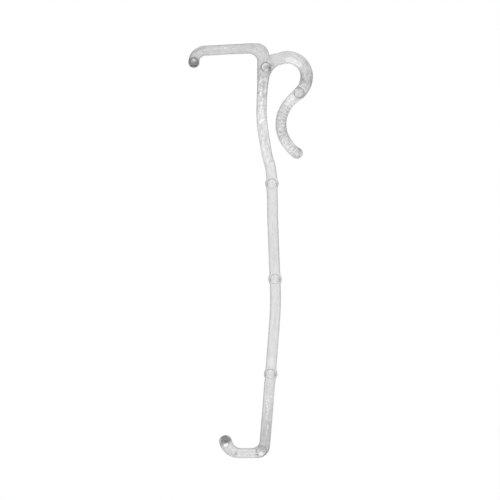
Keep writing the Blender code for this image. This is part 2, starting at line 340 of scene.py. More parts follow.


# The marks that the melt leaves as it runs down the mould: long streaks, pale patches where it folded, fine
# ripples across the run, and small flecks; towards the strip's sides it adds a painted shade. Each noise is
# given by how fast it changes along, across and through the strip, and by its detail.
BROAD_NOISE = (0.10, 1.5, 0.05), 2.0
FINE_NOISE = (0.45, 4.2, 0.08), 3.0
FOLD_NOISE = (0.85, 1.9, 0.05), 3.0
FLECK_NOISE = (1.9, 2.8, 0.05), 2.0
NOISE_ROUGHNESS, NOISE_MIDDLE = 0.55, 0.5
RIPPLE_TURNS, RIPPLE_WANDER, RIPPLE_AREAS = 7.5, 14.0, (0.36, 0.52)
PATCH_EDGE, PATCH_SHADES = (0.38, 0.62), (-0.5, 0.5)
FLECK_EDGE, FLECK_SHADES = (0.50, 0.66), (-0.22, 0.78)
STREAK_SHARE, PATCH_SHARE, RIPPLE_SHARE = 0.9, 0.5, 0.20
SIDE_BEGINS, STRIP_ENDS = (0.4, 1.25), (1.4, 2.0)
CLEARNESS, DARKEST, CLEAREST = 0.8, 0.12, 0.99
LEAST_ROUGH, FOLD_ROUGH = 0.05, 0.10
FINE_HEIGHT, RIPPLE_HEIGHT = 0.5, 0.5

flow = bpy.data.node_groups.new("flow_marks", "ShaderNodeTree")
flow.interface.new_socket("Run", in_out="INPUT", socket_type="NodeSocketVector")
for name in ("Level", "Streaks", "Patches", "Ripples", "Flecks", "Painted Edge Shade"):
    flow.interface.new_socket(name, in_out="INPUT", socket_type="NodeSocketFloat")
flow.interface.new_socket("Tint", in_out="OUTPUT", socket_type="NodeSocketColor")
for name in ("Roughness", "Height"):
    flow.interface.new_socket(name, in_out="OUTPUT", socket_type="NodeSocketFloat")
given = add_node(flow, "NodeGroupInput").outputs


def run_noise(stretch, detail):
    """Noise stretched along the run."""
    noise = {"Vector": reckon_vector(flow, "MULTIPLY", given["Run"], stretch), "Scale": 1.0}
    noise |= {"Detail": detail, "Roughness": NOISE_ROUGHNESS}
    return add_node(flow, "ShaderNodeTexNoise", noise).outputs["Fac"]


broad, fine = run_noise(*BROAD_NOISE), run_noise(*FINE_NOISE)
folds, specks = run_noise(*FOLD_NOISE), run_noise(*FLECK_NOISE)
run_parts = parts_of(flow, given["Run"])
from_middle = reckon(flow, "ABSOLUTE", run_parts["Y"])
side = ramp(flow, from_middle, *SIDE_BEGINS)
on_strip = ramp(flow, from_middle, *STRIP_ENDS, 1.0, 0.0)
# Painted shade that darkens the strip towards its sides.
edge = times(flow, side, given["Painted Edge Shade"])
wander = plus(flow, times(flow, run_parts["X"], RIPPLE_TURNS), times(flow, folds, RIPPLE_WANDER))
ripple = times(flow, reckon(flow, "SINE", wander), ramp(flow, broad, *RIPPLE_AREAS))
ripple = times(flow, ripple, given["Ripples"])
ripple = times(flow, ripple, reckon(flow, "SUBTRACT", 1.0, side))
patch = times(flow, ramp(flow, folds, *PATCH_EDGE, *PATCH_SHADES), given["Patches"])
fleck = times(flow, ramp(flow, specks, *FLECK_EDGE, *FLECK_SHADES), given["Flecks"])
streaks = [times(flow, reckon(flow, "SUBTRACT", noise, NOISE_MIDDLE), STREAK_SHARE) for noise in (broad, fine)]
streak = times(flow, plus(flow, *streaks), given["Streaks"])
uneven = plus(flow, streak, times(flow, patch, PATCH_SHARE))
uneven = plus(flow, uneven, times(flow, ripple, RIPPLE_SHARE))
uneven = plus(flow, uneven, fleck)
uneven = times(flow, reckon(flow, "SUBTRACT", uneven, edge), on_strip)
shade = times(flow, plus(flow, given["Level"], uneven), CLEARNESS)
shade = add_node(flow, "ShaderNodeClamp", {"Value": shade, "Min": DARKEST, "Max": CLEAREST}).outputs[0]
tint = add_node(flow, "ShaderNodeCombineColor", {"Red": shade, "Green": shade, "Blue": shade}).outputs[0]
rough = plus(flow, times(flow, folds, FOLD_ROUGH), LEAST_ROUGH)
height = plus(flow, times(flow, fine, FINE_HEIGHT), times(flow, ripple, RIPPLE_HEIGHT))
add_node(flow, "NodeGroupOutput", {"Tint": tint, "Roughness": rough, "Height": height})

# One spot with a ragged edge: 1 in its middle, 0 outside its reach. It serves for pale and dark places in the
# plastic, and for painted highlights and painted shade.
RAGGED_SCALE, RAGGED_DETAIL, RAGGED_STRETCH = 1.6, 2.0, (1, 1, 0.05)
SPOT_EDGE = (0.55, 1.10)
haze_and_painted_light = bpy.data.node_groups.new("haze_and_painted_light_spot", "ShaderNodeTree")
for name in ("Run", "Middle", "Reach"):
    haze_and_painted_light.interface.new_socket(name, in_out="INPUT", socket_type="NodeSocketVector")
haze_and_painted_light.interface.new_socket("Spot", in_out="OUTPUT", socket_type="NodeSocketFloat")
given = add_node(haze_and_painted_light, "NodeGroupInput").outputs
ragged = {"Vector": reckon_vector(haze_and_painted_light, "MULTIPLY", given["Run"], RAGGED_STRETCH)}
ragged |= {"Scale": RAGGED_SCALE, "Detail": RAGGED_DETAIL}
ragged = add_node(haze_and_painted_light, "ShaderNodeTexNoise", ragged).outputs["Color"]
ragged = reckon_vector(haze_and_painted_light, "SUBTRACT", ragged, (NOISE_MIDDLE, NOISE_MIDDLE, NOISE_MIDDLE))
offset = reckon_vector(haze_and_painted_light, "SUBTRACT", given["Run"], given["Middle"])
offset = reckon_vector(haze_and_painted_light, "DIVIDE", offset, given["Reach"])
offset = reckon_vector(haze_and_painted_light, "ADD", offset, ragged)
apart = reckon_vector(haze_and_painted_light, "LENGTH", reckon_vector(haze_and_painted_light, "MULTIPLY", offset, (1, 1, 0)))
add_node(haze_and_painted_light, "NodeGroupOutput", {"Spot": ramp(haze_and_painted_light, apart, *SPOT_EDGE, 1.0, 0.0)})

# The clear plastic itself. Its sides show less of the marks than the flat faces do, and its rims and the walls
# of the ejector marks are darkened by painted shade.
RIM_PAINTED_SHADE, RIM_BEGINS, RIM_ENDS = (0.93, 0.93, 0.935, 1), (0.08, 0.30), (0.93, 0.995)
MARK_WALL_PAINTED_SHADE = (0.30, 0.30, 0.305, 1)
SIDE_TO_FACE = (0.3, 0.8)
SIDE_DENSITY, SIDE_MARKS = 0.8, 0.3
PAINTED_EDGE_SHADE = 0.07
BUMP_STRENGTH, BUMP_DISTANCE = 0.35, 0.00006
PLASTIC_IOR = 1.52


def graded(tree, along, stops):
    """A value that changes along the run, by stops of (how far along, value). A plain number stays as it is."""
    if not isinstance(stops, tuple):
        return stops
    first, last = stops[0][0], stops[-1][0]
    ladder = add_node(tree, "ShaderNodeValToRGB", {"Fac": ramp(tree, along, first, last, step="LINEAR")})
    ladder.color_ramp.interpolation = "EASE"
    while len(ladder.color_ramp.elements) < len(stops):
        ladder.color_ramp.elements.new(0.5)
    for stop, (where, value) in zip(ladder.color_ramp.elements, stops):
        stop.position = (where - first) / (last - first)
        stop.color = (value, value, value, 1)
    return ladder.outputs["Color"]


def darken(tree, share, colour, by):
    """A colour, made darker by another one where the share says so."""
    mix = {0: share, 6: colour, 7: by}
    return add_node(tree, "ShaderNodeMix", mix, data_type="RGBA", blend_type="MULTIPLY").outputs[2]


def clear_plastic(name, levels, streaks, patches=0.0, ripples=0.0, flecks=0.0, spots=()):
    """Clear plastic with flow marks. levels is the share of light let through, by stops along the run; streaks,
    patches, ripples and flecks are strengths or stops; spots are (along, across, reach along, reach across,
    light added): pale and dark places in the plastic, and painted highlights and painted shade."""
    made = bpy.data.materials.new(name)
    made.use_nodes = True
    tree = made.node_tree
    run = add_node(tree, "ShaderNodeAttribute", attribute_name="run").outputs["Vector"]
    along = parts_of(tree, run)["X"]
    light = graded(tree, along, levels)
    # Each spot lightens or darkens the plastic: some are places in the plastic, others painted highlights and
    # shade.
    for s, a, s_reach, a_reach, added in spots:
        place = {"Run": run, "Middle": (s, a, 0), "Reach": (s_reach, a_reach, 1)}
        spot = add_node(tree, "ShaderNodeGroup", place, node_tree=haze_and_painted_light).outputs["Spot"]
        light = plus(tree, light, times(tree, spot, added))
    normal = add_node(tree, "ShaderNodeNewGeometry").outputs["Normal"]
    facing = reckon(tree, "ABSOLUTE", parts_of(tree, normal)["Y"])
    shown = ramp(tree, facing, *SIDE_TO_FACE, SIDE_MARKS, 1.0)
    strengths = {"Streaks": streaks, "Patches": patches, "Ripples": ripples, "Flecks": flecks}
    strengths = {kind: times(tree, graded(tree, along, stops), shown) for kind, stops in strengths.items()}
    marks = {"Run": run, "Level": light, "Painted Edge Shade": PAINTED_EDGE_SHADE, **strengths}
    marks = add_node(tree, "ShaderNodeGroup", marks, node_tree=flow).outputs
    clearness = ramp(tree, facing, *SIDE_TO_FACE, SIDE_DENSITY, 1.0)
    tint = add_node(tree, "ShaderNodeGamma", {"Color": marks["Tint"], "Gamma": clearness}).outputs[0]
    # Painted shade on the rounded rims, where the strip's faces turn.
    painted_rim_shade = times(tree, ramp(tree, facing, *RIM_BEGINS), ramp(tree, facing, *RIM_ENDS, 1.0, 0.0))
    # Painted shade on the walls of the ejector marks.
    wall = add_node(tree, "ShaderNodeAttribute", attribute_name="mark_wall_painted_shade").outputs["Fac"]
    skin = darken(tree, wall, darken(tree, painted_rim_shade, tint, RIM_PAINTED_SHADE), MARK_WALL_PAINTED_SHADE)
    bump = {"Strength": BUMP_STRENGTH, "Distance": BUMP_DISTANCE, "Height": marks["Height"]}
    bump = add_node(tree, "ShaderNodeBump", bump).outputs["Normal"]
    shader = tree.nodes["Principled BSDF"]
    for socket, output in (("Base Color", skin), ("Roughness", marks["Roughness"]), ("Normal", bump)):
        tree.links.new(output, shader.inputs[socket])
    shader.inputs["IOR"].default_value = PLASTIC_IOR
    shader.inputs["Transmission Weight"].default_value = 1.0
    return made


# Where two sections of the one moulding meet there is no surface, so their ends let all light through.
unseen_joint = bpy.data.materials.new("unseen_joint")
unseen_joint.use_nodes = True
tree = unseen_joint.node_tree
tree.nodes.remove(tree.nodes["Principled BSDF"])
nothing = add_node(tree, "ShaderNodeBsdfTransparent").outputs["BSDF"]
tree.links.new(nothing, tree.nodes["Material Output"].inputs["Surface"])

head = draw_plate("head", ARM_SEAM[0], [
    ("line", [CORNER_BEGINS]),
    ("arc", CORNER_CENTRE, CORNER_TURN, 18),
    ("line", [CURL_SEAM[0], CURL_SEAM[1]]),
    ("line", smooth_through(NECK_RIGHT, 6)),
    ("line", [STEM_SEAM[1]]),
    ("line", smooth_through(NECK_LEFT, 6)),
    ("arc", ARM_PIT_CENTRE, ARM_PIT_TURN, 14),
    ("line", [ARM_SEAM[1], ARM_SEAM[0]]),
])
raise_parting_line(head, HEAD_SEAMS)
round_rims(head, HEAD_SEAMS)
bpy.ops.object.mode_set(mode="EDIT")
for z in NECK_SLICES:
    slice_across((0, 0, z), (0, 0, 1))
bpy.ops.object.mode_set(mode="OBJECT")
press_mark(head, FORK_MARK, FORK_MARK_DIAMETER, shade=0.9, darkest=165)
head_line = [middle_of(ARM_SEAM), *arc_points(FORK_RUN_CENTRE, FORK_RUN_RADIUS, ARM_PIT_TURN, 0, 12),
             Vector(NECK_RUN[0]), *smooth_through([*NECK_RUN, middle_of(STEM_SEAM)], 4)]
head_length = lengths_along(head_line)[-1]
lay_run(head, head_line, 0.0)
# The spots round the fork's ejector mark are painted shade and a painted highlight; the others are pale and
# dark places in the plastic.
head_plastic = clear_plastic(
    "head_plastic",
    levels=((0, 0.78), (3, 0.79), (7, 0.78), (10, 0.77), (13, 0.84), (16.5, 0.91), (21, 0.95),
            (head_length, 0.95)),
    streaks=((0, 0.25), (5, 0.25), (11, 0.5), (24, 0.7), (head_length, 0.6)),
    patches=((0, 0.25), (7, 0.25), (10, 0.6), (21, 0.6), (head_length, 0.4)),
    flecks=((0, 0.14), (8, 0.16), (11, 0.30), (21, 0.28), (26, 0.10), (head_length, 0.05)),
    spots=((6.15, 0.2, 0.3, 0.55, 0.22), (6.6, -0.3, 0.5, 0.25, 0.20), (5.8, 1.1, 0.4, 0.4, 0.18),
           (6.85, 1.0, 0.4, 0.9, -0.24), (7.7, 1.4, 1.2, 0.42, -0.32), (5.0, 3.5, 2.2, 1.7, 0.07),
           (3.9, 1.4, 0.9, 0.22, -0.12), (9.6, 0.5, 0.45, 0.32, 0.16), (9.6, -0.6, 1.2, 0.22, 0.12),
           (10.4, 0.05, 2.0, 0.18, -0.14), (11.7, 0.72, 0.7, 0.26, 0.16), (11.9, -0.35, 0.4, 0.25, 0.10),
           (12.7, -0.95, 0.45, 0.32, -0.28), (13.1, -0.42, 0.50, 0.34, 0.34), (13.2, 0.15, 0.6, 0.32, -0.20),
           (15.1, 0.05, 0.34, 0.28, 0.36), (14.9, 0.5, 0.5, 0.2, -0.14), (16.0, 0.05, 0.3, 0.22, 0.16),
           (15.7, -0.4, 0.35, 0.3, -0.12), (14.6, -0.65, 0.4, 0.3, -0.13), (17.0, -0.32, 0.6, 0.28, 0.30),
           (17.3, 0.3, 1.1, 0.24, 0.32), (16.5, 0.72, 1.2, 0.18, -0.18), (18.1, 0.75, 0.5, 0.25, 0.12),
           (18.35, -0.9, 0.7, 0.4, 0.18), (18.9, 0.1, 0.4, 0.42, 0.34), (19.4, -0.4, 0.5, 0.32, 0.34),
           (20.4, 0.75, 0.3, 0.22, 0.24), (26, 0.9, 3.5, 0.35, -0.05), (6.4, 2.0, 0.5, 0.4, -0.16),
           (7.4, -0.75, 0.35, 0.3, -0.10), (7.2, 0.3, 0.35, 0.5, -0.08), (2.1, -0.2, 0.6, 0.5, 0.09),
           (18.0, -0.1, 0.4, 0.4, 0.10), (21.3, 0.7, 0.6, 0.25, 0.13), (22.8, 0.0, 0.6, 0.35, 0.13),
           (23.8, 0.95, 0.7, 0.25, 0.14), (25.3, 0.3, 0.8, 0.3, 0.12), (28.7, 0.6, 0.6, 0.3, -0.18),
           (3.3, 0.15, 0.5, 0.5, 0.10), (4.1, -1.1, 0.6, 0.5, 0.10), (2.9, 1.2, 0.5, 0.4, 0.09),
           (12.35, -0.55, 0.3, 0.3, -0.14)))
finish_moulding(head, HEAD_SEAMS, head_plastic)
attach(head, "head")
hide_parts("neck", "junction_pad")

# ---------------------------------------------------------------- arm
# The arm that lies over the valance board's top edge, with its turned-down lip.
# The same clear plastic, a strip drawn out from the head's section; the lip's free end is round, and its
# front and back corners are rounded off so that the board slips in.
LIP_CORNER_RADIUS = 1.9
ROUND_END_TURN, ROUND_END_STEPS = 87, 9
UNCHANGED = 1e-6
ARM_TOP_ENDS, ARM_UNDER_BENDS, ARM_UNDER_ENDS = (-18.729, 6.945), (-12.8, 5.06), (-18.66, 4.689)
TOP_LIP_OUT, TOP_LIP_OUT_RADIUS, TOP_LIP_OUT_TURN = (-18.53, 3.15), 3.8, (93, 180)
TOP_LIP_IN, TOP_LIP_IN_RADIUS, TOP_LIP_IN_TURN = (-18.60, 3.42), 1.27, (92.75, 180)
TOP_LIP_IN_ENDS = (-19.87, 3.15)
TOP_LIP_MARK, TOP_LIP_MARK_DIAMETER = (-21.10, 3.30), 2.1


def line_points(a, b, steps):
    """Points from a to b without a itself."""
    return [Vector(a).lerp(Vector(b), i / steps) for i in range(1, steps + 1)]


def middle_line(side_a, side_b):
    """The line half way between the two sides of a strip."""
    return [(a + b) / 2 for a, b in zip(side_a, side_b)]


def round_end(side_a, side_b, corner_radius=0.0):
    """The two sides of a strip with a half round added to their end, and the share of the depth that each of
    their steps keeps."""
    middle, half = (side_a[-1] + side_b[-1]) / 2, (side_b[-1] - side_a[-1]) / 2
    before = (side_a[-2] + side_b[-2]) / 2
    way = Vector((-half.y, half.x)).normalized()
    if way.dot(middle - before) < 0:
        way = -way
    a, b = list(side_a), list(side_b)
    for step in range(1, ROUND_END_STEPS + 1):
        turn = math.radians(ROUND_END_TURN * step / ROUND_END_STEPS)
        centre = middle + way * half.length * math.sin(turn)
        a.append(centre - half * math.cos(turn))
        b.append(centre + half * math.cos(turn))
    tip, depths = middle + way * half.length, []
    for here in middle_line(a, b):
        past = corner_radius - (tip - here).dot(way)
        if past <= 0 or (here - tip).length > 2 * corner_radius:
            depths.append(1.0)
        else:
            set_back = corner_radius - math.sqrt(max(corner_radius**2 - past**2, 0))
            depths.append((FACE_Y - set_back) / FACE_Y)
    return a, b, depths


def draw_strip(name, side_a, side_b, depths=None):
    """A strip drawn out from one rounded section: each step extrudes the end, turns it and squeezes it to its
    two sides."""
    depths = depths or [1.0] * len(side_a)
    strip = new_plane(name, size=1)
    bpy.ops.object.mode_set(mode="EDIT")
    across = side_b[0] - side_a[0]
    bpy.ops.transform.resize(value=(across.length, STRIP_DEPTH, 1), center_override=(0, 0, 0))
    bpy.ops.mesh.bevel(offset=RIM_RADIUS, segments=RIM_STEPS, profile=RIM_PROFILE, affect="VERTICES")
    slice_ridge_rows()
    for reach, rise in RIDGE_ROWS:
        select_where(strip, "VERT", lambda p: in_row(p.co, reach))
        bpy.ops.transform.resize(value=(1 + 2 * rise / across.length, 1, 1), center_override=(0, 0, 0))
    bpy.ops.mesh.select_all(action="SELECT")
    turned = math.atan2(across.y, across.x)
    bpy.ops.transform.rotate(value=turned, orient_axis="Y", center_override=(0, 0, 0))
    centre, thickness, depth = (side_a[0] + side_b[0]) / 2, across.length, 1.0
    bpy.ops.transform.translate(value=(centre.x, 0, centre.y))
    for a, b, keeps in zip(side_a[1:], side_b[1:], depths[1:]):
        move = (a + b) / 2 - centre
        bpy.ops.mesh.extrude_region_move(TRANSFORM_OT_translate={"value": (move.x, 0, move.y)})
        centre, across = (a + b) / 2, b - a
        here = (centre.x, 0, centre.y)
        turn = math.remainder(math.atan2(across.y, across.x) - turned, 2 * math.pi)
        if abs(turn) > UNCHANGED:
            bpy.ops.transform.rotate(value=turn, orient_axis="Y", center_override=here)
        squeeze = across.length / thickness
        if abs(squeeze - 1) > UNCHANGED or abs(keeps / depth - 1) > UNCHANGED:
            bpy.ops.transform.resize(value=(squeeze, keeps / depth, squeeze), center_override=here)
        turned, thickness, depth = turned + turn, across.length, keeps
    face_outwards()
    return strip


arm_top = [Vector(ARM_SEAM[0]), *line_points(ARM_SEAM[0], ARM_TOP_ENDS, 14),
           *arc_points(TOP_LIP_OUT, TOP_LIP_OUT_RADIUS, *TOP_LIP_OUT_TURN, 16)[1:]]
arm_under = [Vector(ARM_SEAM[1]), *line_points(ARM_SEAM[1], ARM_UNDER_BENDS, 6),
             *line_points(ARM_UNDER_BENDS, ARM_UNDER_ENDS, 8),
             *arc_points(TOP_LIP_IN, TOP_LIP_IN_RADIUS, *TOP_LIP_IN_TURN, 14)[1:]]
arm_under += line_points(arm_under[-1], TOP_LIP_IN_ENDS, 2)
arm_under, arm_top, arm_depths = round_end(arm_under, arm_top, LIP_CORNER_RADIUS)
arm = draw_strip("arm", arm_under, arm_top, arm_depths)
press_mark(arm, TOP_LIP_MARK, TOP_LIP_MARK_DIAMETER, shade=0.9)
arm_line = middle_line(arm_under, arm_top)[::-1]
arm_length = lengths_along(arm_line)[-1]
lay_run(arm, arm_line, -arm_length)
# Towards the lip's round end the levels fall and the spots darken it, with one lighter place by its ejector
# mark: painted shade and a painted highlight. The other spots are pale and dark places in the plastic.
arm_plastic = clear_plastic(
    "arm_plastic",
    levels=((-arm_length, 0.60), (-13.0, 0.70), (-11, 0.78), (-6, 0.80), (0, 0.78)),
    streaks=((-arm_length, 0.4), (-4, 0.4), (0, 0.25)),
    patches=0.25,
    spots=((-4.8, 0.36, 0.40, 0.30, 0.20), (-9.9, 0.0, 0.25, 1.2, -0.05), (-1.8, 0.9, 0.8, 0.3, 0.06),
           (-14.6, 0.8, 0.4, 0.4, 0.08), (-13.6, 0.0, 1.4, 1.5, -0.22), (-14.3, -0.1, 0.9, 1.5, -0.22),
           (-13.4, 1.1, 1.0, 0.32, -0.22), (-13.6, -1.1, 0.9, 0.32, -0.22), (-12.1, 1.2, 1.1, 0.36, -0.28),
           (-12.95, 0.05, 0.32, 0.42, 0.26), (-10.4, 0.6, 1.3, 0.5, -0.17)))
finish_moulding(arm, (ARM_SEAM,), arm_plastic)
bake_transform(arm, "head", "arm", start=(-0.0092, 0, 0.00626), end=(-0.0115, 0, 0.00613))
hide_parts("top_arm", "top_lip", "top_lip_pad")

# ---------------------------------------------------------------- curl
# The spring curl that grips the headrail's lip: a round bow, a short straight, and a tail that swings back.
# Clear plastic, drawn on from the head, a little thicker in the bow than in the tail, with an ejector mark
# where bow and tail meet and one in the round end.
BOW_CENTRE, BOW_OUTER, BOW_INNER = (0, 0), 5.775, 2.955
BOW_TURN = (105, -41.9)
TAIL_CENTRE, TAIL_LINE, TAIL_THICKNESS = (5.677, -10.81), 7.13, 2.43
TAIL_TURN = (138.1, 242)
CURL_SWELL = ((0, 0, -0.08), (1.2, 0, 0), (9.3, 0, 0), (10.7, -0.18, 0.07), (12.1, -0.17, 0.20),
              (13.7, -0.02, -0.13), (15.3, 0.06, -0.12), (16.8, 0, -0.03), (18, 0, 0), (25.3, 0, 0),
              (27, 0.10, -0.17), (28.3, 0.27, -0.18), (30, 0.27, -0.17))
SHALLOW_MARK = {"depth": 0.17, "slope": 0.22}
CURL_MARK, CURL_MARK_DIAMETER = (2.62, -3.66), 2.5
CURL_TIP_MARK, CURL_TIP_MARK_DIAMETER = (2.14, -17.05), 1.9


def swell(side_a, side_b, stops):
    """The two sides of a strip, moved outwards by stops of (length along, on side a, on side b)."""
    lengths, marks = lengths_along(middle_line(side_a, side_b)), np.array(stops)
    moved_a, moved_b = [], []
    for a, b, length in zip(side_a, side_b, lengths):
        step = min(int(np.searchsorted(marks[:, 0], length, side="right")), len(marks) - 1)
        share = (length - marks[step - 1, 0]) / (marks[step, 0] - marks[step - 1, 0])
        more = marks[step - 1] + (marks[step] - marks[step - 1]) * (3 - 2 * share) * share**2
        out = (b - a).normalized()
        moved_a.append(a - out * more[1])
        moved_b.append(b + out * more[2])
    return moved_a, moved_b


bow_out, bow_in = (arc_points(BOW_CENTRE, radius, *BOW_TURN, 34) for radius in (BOW_OUTER, BOW_INNER))
tail_radii = (TAIL_LINE - TAIL_THICKNESS / 2, TAIL_LINE + TAIL_THICKNESS / 2)
tail_out, tail_in = (arc_points(TAIL_CENTRE, radius, *TAIL_TURN, 30) for radius in tail_radii)
curl_out = bow_out + line_points(bow_out[-1], tail_out[0], 8) + tail_out[1:]
curl_in = bow_in + line_points(bow_in[-1], tail_in[0], 8) + tail_in[1:]
curl_in, curl_out = swell(curl_in, curl_out, CURL_SWELL)
curl_in, curl_out, curl_depths = round_end(curl_in, curl_out)
curl = draw_strip("curl", curl_in, curl_out, curl_depths)
press_mark(curl, CURL_MARK, CURL_MARK_DIAMETER, shade=0.9, darkest=215, **SHALLOW_MARK)
press_mark(curl, CURL_TIP_MARK, CURL_TIP_MARK_DIAMETER, shade=0.2, depth=0.10, slope=0.13)
curl_line = middle_line(curl_in, curl_out)
curl_length = lengths_along(curl_line)[-1]
lay_run(curl, curl_line, 0.0)
# The spots round the ejector mark where bow and tail meet, and along the tail's edge, are painted shade and a
# painted highlight; the others are pale and dark places in the plastic.
curl_plastic = clear_plastic(
    "curl_plastic",
    levels=((0, 0.82), (2, 0.87), (4, 0.86), (6, 0.76), (9.5, 0.71), (11.5, 0.74), (14.5, 0.91), (16, 0.87),
            (19.5, 0.78), (23, 0.78), (25.5, 0.90), (28, 0.82), (curl_length, 0.73)),
    streaks=((0, 0.25), (4, 0.4), (curl_length, 0.4)),
    patches=((0, 0.2), (5, 0.3), (8, 0.5), (11, 0.5), (14, 0.3), (curl_length, 0.3)),
    ripples=((0, 0), (13.5, 0), (16.5, 1), (curl_length, 1)),
    flecks=((0, 0.05), (6, 0.10), (13, 0.12), (16, 0.26), (26, 0.26), (curl_length, 0.20)),
    spots=((2.2, -0.9, 2.5, 1.1, 0.10), (2.6, -0.8, 2.0, 0.9, 0.07), (4.7, -0.8, 1.0, 0.9, 0.17),
           (2.6, -1.3, 2.8, 0.6, 0.10), (4.4, 0.9, 2.0, 0.4, -0.08), (6.2, 0.0, 0.8, 0.3, 0.10),
           (8.3, -1.1, 1.9, 0.35, -0.12), (8.6, 1.15, 1.9, 0.35, -0.12), (8.85, -0.75, 0.3, 0.25, -0.09),
           (9.15, -0.4, 0.3, 0.25, -0.09), (9.4, -0.1, 0.3, 0.25, -0.14), (9.65, 0.35, 0.3, 0.25, -0.14),
           (10.9, 0.0, 0.40, 0.75, 0.26), (11.6, -0.7, 0.4, 0.5, -0.12), (12.1, 0.12, 0.45, 0.5, 0.06),
           (12.15, 1.05, 0.8, 0.35, -0.14), (14.0, -0.25, 0.8, 0.6, 0.12), (15.1, -0.1, 1.0, 0.6, 0.10),
           (18.6, 1.05, 3.4, 0.32, -0.14), (20.3, 0.0, 0.35, 0.25, 0.18), (20.9, 0.1, 0.18, 0.42, 0.18),
           (21.4, -0.14, 0.25, 0.25, 0.18), (22.1, 0.2, 0.3, 0.2, 0.22), (22, 1.0, 3.0, 0.3, -0.14),
           (24.3, 1.05, 0.6, 0.32, -0.26), (28.9, 0.9, 1.1, 0.5, -0.22), (0.8, -0.8, 0.5, 0.5, 0.10),
           (7.0, 0.4, 1.0, 0.7, -0.07), (27.4, -0.2, 0.5, 0.4, 0.13), (24.4, 0.0, 0.7, 0.6, 0.10),
           (26.3, -0.7, 0.7, 0.4, 0.10)))
finish_moulding(curl, (CURL_SEAM,), curl_plastic)
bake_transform(curl, "head", "curl", start=(-0.000765, 0, 0.002854), end=(0.002295, 0, 0.000998))
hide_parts("curl_bow", "curl_pad", "curl_tail", "curl_tip_pad")

# ---------------------------------------------------------------- stem
# The long bowed stem behind the valance board. Clear plastic, drawn on from the head.
# Three round bosses, a little wider than the strip, carry the ejector marks that pushed it out of the mould.
STEM_KNEE, STEM_KNEE_RADIUS = Vector((-3.59, -21.39)), 15.3
STEM_BELLY, STEM_BELLY_RADIUS = Vector((-2.59, -51.734)), 61.0
STEM_END = Vector((-4.964, -80.4))
STEM_THICKNESS = 2.415
STEM_STEPS = 76
STEM_SWAY = ((0, 0), (9, 0), (12, -0.07), (20, -0.06), (26, 0), (34, 0), (42, 0.05), (48, 0.09), (51, 0.05),
             (56, 0.10), (62, 0.09))
BOSSES = ((-3.495, -24.20), (-2.788, -45.734), (-3.785, -67.15))
BOSS_SHAPE = ((1.25, 1.0), (1.1, 1.008), (0.98, 1.035), (0.86, 1.075), (0.7, 1.125), (0.45, 1.195),
              (0.2, 1.238), (0.0, 1.248))
BOSS_ROOM, BOSS_TRIES = 1.4, 4001
BOSS_MARK, BOSS_MARK_DARKEST = 2.35, (90, 270, 90)
# Painted shade on the flanks of each boss: how far out, and its spot's reach along, reach across and light
# taken.
BOSS_SHADE_OUT, BOSS_SHADE = 1.08, (0.75, 0.30, -0.22)


def rounded_knee(before, knee, after, radius, steps):
    """The arc that rounds a knee between two straight runs."""
    into, out = (knee - before).normalized(), (after - knee).normalized()
    turn = math.atan2(into.cross(out), into.dot(out))
    inward = Vector((-into.y, into.x)) * math.copysign(1, turn)
    centre = knee - into * radius * math.tan(abs(turn) / 2) + inward * radius
    first = math.degrees(math.atan2(-inward.y, -inward.x))
    return arc_points(centre, radius, first, first + math.degrees(turn), steps)


def place_along(line, length):
    """The place and the way of a line, this far along it."""
    for a, b in zip(line, line[1:]):
        way = b - a
        if length <= way.length or b is line[-1]:
            return a + way.normalized() * length, way.normalized()
        length -= way.length


stem_start = middle_of(STEM_SEAM)
stem_line = [stem_start, *rounded_knee(stem_start, STEM_KNEE, STEM_BELLY, STEM_KNEE_RADIUS, 10),
             *rounded_knee(STEM_KNEE, STEM_BELLY, STEM_END, STEM_BELLY_RADIUS, 12), STEM_END]
stem_length = lengths_along(stem_line)[-1]
tries = np.linspace(0, stem_length, BOSS_TRIES)
tried = [place_along(stem_line, length)[0] for length in tries]
boss_lengths = [tries[np.argmin([(place - Vector(boss)).length for place in tried])] for boss in BOSSES]
stations = [(stem_length * i / STEM_STEPS, 1.0) for i in range(STEM_STEPS + 1)]
stations = [s for s in stations if all(abs(s[0] - boss) > BOSS_ROOM for boss in boss_lengths)]
stations += [(boss + side * away, wider) for boss in boss_lengths for away, wider in BOSS_SHAPE
             for side in ((1, -1) if away else (1,))]
stem_left, stem_right = [], []
for length, wider in sorted(stations):
    centre, way = place_along(stem_line, length)
    half = Vector((-way.y, way.x)) * STEM_THICKNESS / 2 * wider
    stem_left.append(centre - half)
    stem_right.append(centre + half)
stem_left[0], stem_right[0] = Vector(STEM_SEAM[1]), Vector(STEM_SEAM[0])
stem_left, stem_right = swell(stem_left, stem_right, [(length, -sway, sway) for length, sway in STEM_SWAY])
HOOK_SEAM = (tuple(stem_right[-1]), tuple(stem_left[-1]))
stem = draw_strip("stem", stem_left, stem_right)
for boss, darkest in zip(BOSSES, BOSS_MARK_DARKEST):
    press_mark(stem, boss, BOSS_MARK, shade=0.45, depth=0.13, slope=0.17, darkest=darkest)
lay_run(stem, stem_line, head_length)
foot = head_length + stem_length
